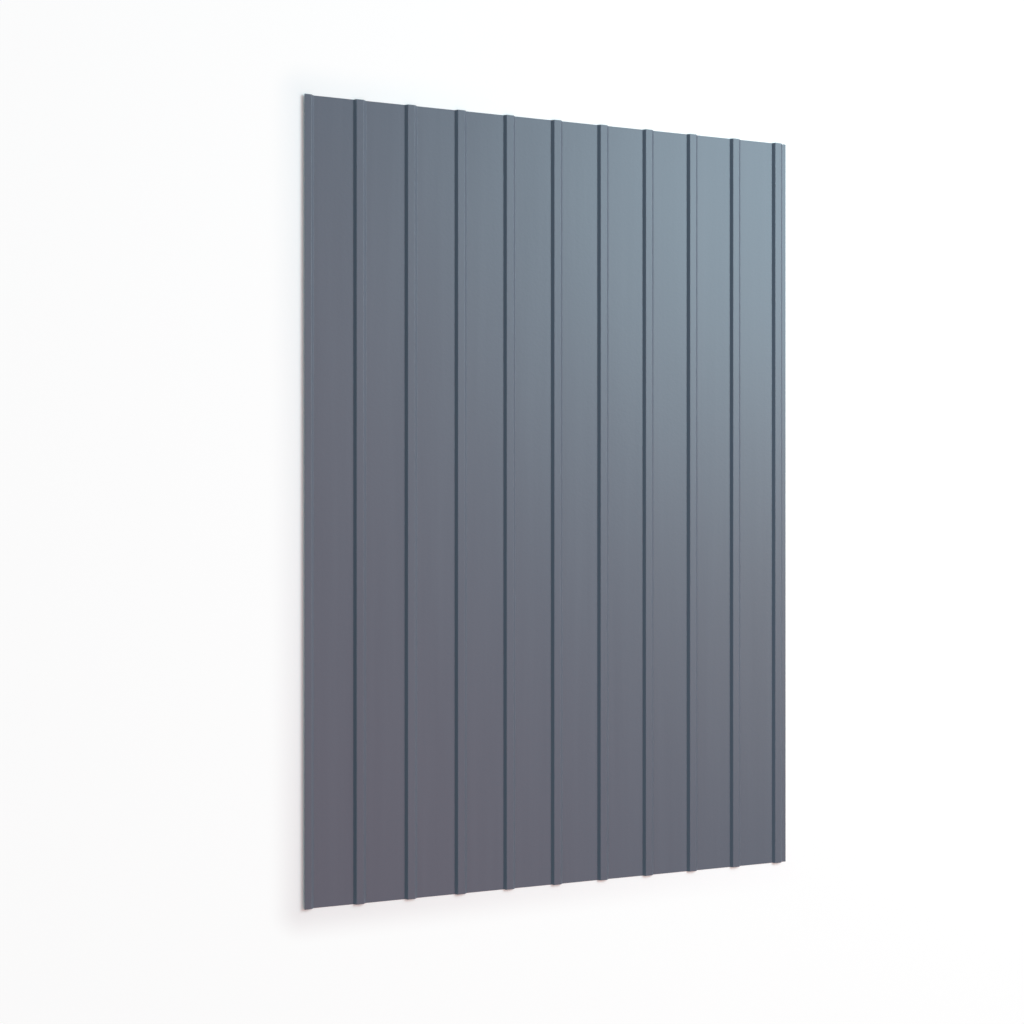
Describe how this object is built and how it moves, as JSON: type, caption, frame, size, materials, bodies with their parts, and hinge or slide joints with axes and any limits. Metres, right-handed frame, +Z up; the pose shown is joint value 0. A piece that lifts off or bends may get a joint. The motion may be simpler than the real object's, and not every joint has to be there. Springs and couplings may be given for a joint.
{
  "type": "trapezoidal profiled metal sheet",
  "caption": "Roll-formed steel sheet with low, narrow trapezoidal ribs and wide flat pans, coated graphite grey, lapped edge to edge to clad walls, fences and roofs.",
  "frame": {"origin": "under the middle of the sheet, on the level that its pans rest on", "axes": "+X across the ribs, from the overlap edge to the underlap edge, +Y along the ribs, +Z up, the way the ribs point"},
  "size_m": [1.181, 1.75, 0.0065],
  "materials": {
    "coated_steel": "satin"
  },
  "bodies": {
    "root": {"profiled_sheet": "coated_steel"}
  },
  "joints": []
}
